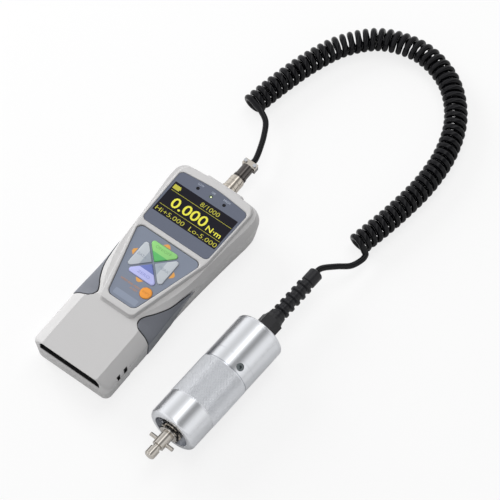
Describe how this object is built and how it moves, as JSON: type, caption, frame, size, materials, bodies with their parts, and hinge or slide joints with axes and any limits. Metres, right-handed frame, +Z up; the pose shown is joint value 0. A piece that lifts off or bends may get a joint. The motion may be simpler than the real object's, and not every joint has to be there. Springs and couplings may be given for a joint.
{
  "type": "torque meter",
  "caption": "Hand-held torque meter: display unit with keypad and rubber grips, curly cord and cylindrical torque sensor with a knurled sleeve and cross-pinned drive shaft.",
  "frame": {"origin": "on the display unit's flat underside, amid the four threaded inserts", "axes": "+Y along the display unit towards its cord connector, +Z up through its face, +X towards the sensor's side"},
  "size_m": [0.1554, 0.3891, 0.0386],
  "materials": {
    "shell": "light grey, fine texture",
    "grip": "soft matt dark grey",
    "display_sheet": "printed satin sheet",
    "keypad_sheet": "printed satin sheet",
    "window": "smoked, clear",
    "display_glass": "dark display glass",
    "green_light": "translucent",
    "green_key": "printed silicone",
    "grey_key": "printed silicone",
    "lavender_key": "printed silicone",
    "orange_key": "silicone",
    "board": "green laminate",
    "chip": "black",
    "black_plastic": "black, moulded",
    "cell": "sleeved",
    "steel": "bright",
    "nickel": "satin nickel plate",
    "brass": "turned",
    "aluminium": "satin, turned",
    "insulator": "cream, moulded",
    "gauge": "foil on film",
    "cord": "black, satin"
  },
  "bodies": {
    "display_unit": {"back_shell": "shell", "front_shell": "shell", "grip_right": "grip", "grip_left": "grip", "case_screws": "steel", "mount_inserts": "brass", "display_panel": "display_sheet", "screen_window": "window", "display_glass": "display_glass", "display_board": "board", "status_lights": "green_light", "keypad_sheet": "keypad_sheet", "keypad_board": "board", "key_domes": "steel", "main_board": "board", "board_chips": "chip", "board_screws": "steel", "battery_tray": "black_plastic", "battery_cells": "cell", "battery_contacts": "nickel", "io_board": "board", "io_connector": "black_plastic", "usb_socket": "steel", "power_jack": "steel", "receptacle": "black_plastic", "receptacle_nut": "nickel", "receptacle_insert": "insulator", "receptacle_pins": "brass"},
    "power_key": {"key_power": "green_key"},
    "left_key": {"key_left": "grey_key"},
    "zero_key": {"key_zero": "lavender_key"},
    "right_key": {"key_right": "grey_key"},
    "shift_key": {"key_round": "orange_key"},
    "plug_cord_and_sensor": {"plug_shell": "nickel", "plug_insert": "insulator", "cable_clamp": "nickel", "clamp_screws": "steel", "cord_lead": "cord", "curly_cord": "cord", "cord_tail": "cord", "sensor_front": "aluminium", "front_flange": "black_plastic", "flange_screws": "steel", "knurled_sleeve": "aluminium", "middle_ring": "aluminium", "sensor_rear": "aluminium", "housing_screw": "steel", "front_bearing": "steel", "torsion_bar": "steel", "strain_gauges": "gauge", "amplifier_board": "board", "gland_nut": "black_plastic", "cord_boot": "black_plastic"},
    "coupling": {"coupling_sleeve": "nickel"},
    "shaft": {"drive_shaft": "nickel", "cross_pin": "steel"}
  },
  "joints": [
    {"name": "power_key_press", "type": "slide", "parent": "display_unit", "child": "power_key", "axis": [0, 0, -1], "range_m": [0, 0.0004], "stiffness_N_per_m": 4000},
    {"name": "left_key_press", "type": "slide", "parent": "display_unit", "child": "left_key", "axis": [0, 0, -1], "range_m": [0, 0.0004], "stiffness_N_per_m": 4000},
    {"name": "zero_key_press", "type": "slide", "parent": "display_unit", "child": "zero_key", "axis": [0, 0, -1], "range_m": [0, 0.0004], "stiffness_N_per_m": 4000},
    {"name": "right_key_press", "type": "slide", "parent": "display_unit", "child": "right_key", "axis": [0, 0, -1], "range_m": [0, 0.0004], "stiffness_N_per_m": 4000},
    {"name": "round_key_press", "type": "slide", "parent": "display_unit", "child": "shift_key", "axis": [0, 0, -1], "range_m": [0, 0.0004], "stiffness_N_per_m": 4000},
    {"name": "plug_pull", "type": "slide", "parent": "display_unit", "child": "plug_cord_and_sensor", "axis": [0, 1, 0], "range_m": [0, 0.008]},
    {"name": "coupling_draw", "type": "slide", "parent": "plug_cord_and_sensor", "child": "coupling", "axis": [0, 1, 0], "range_m": [0, 0.0012], "stiffness_N_per_m": 4000},
    {"name": "shaft_twist", "type": "hinge", "parent": "plug_cord_and_sensor", "child": "shaft", "pos_m": [0.0848, -0.1009, 0.0193], "axis": [0.0419, 0.9991, 0], "range_deg": [-1, 1], "stiffness_Nm_per_rad": 286}
  ]
}
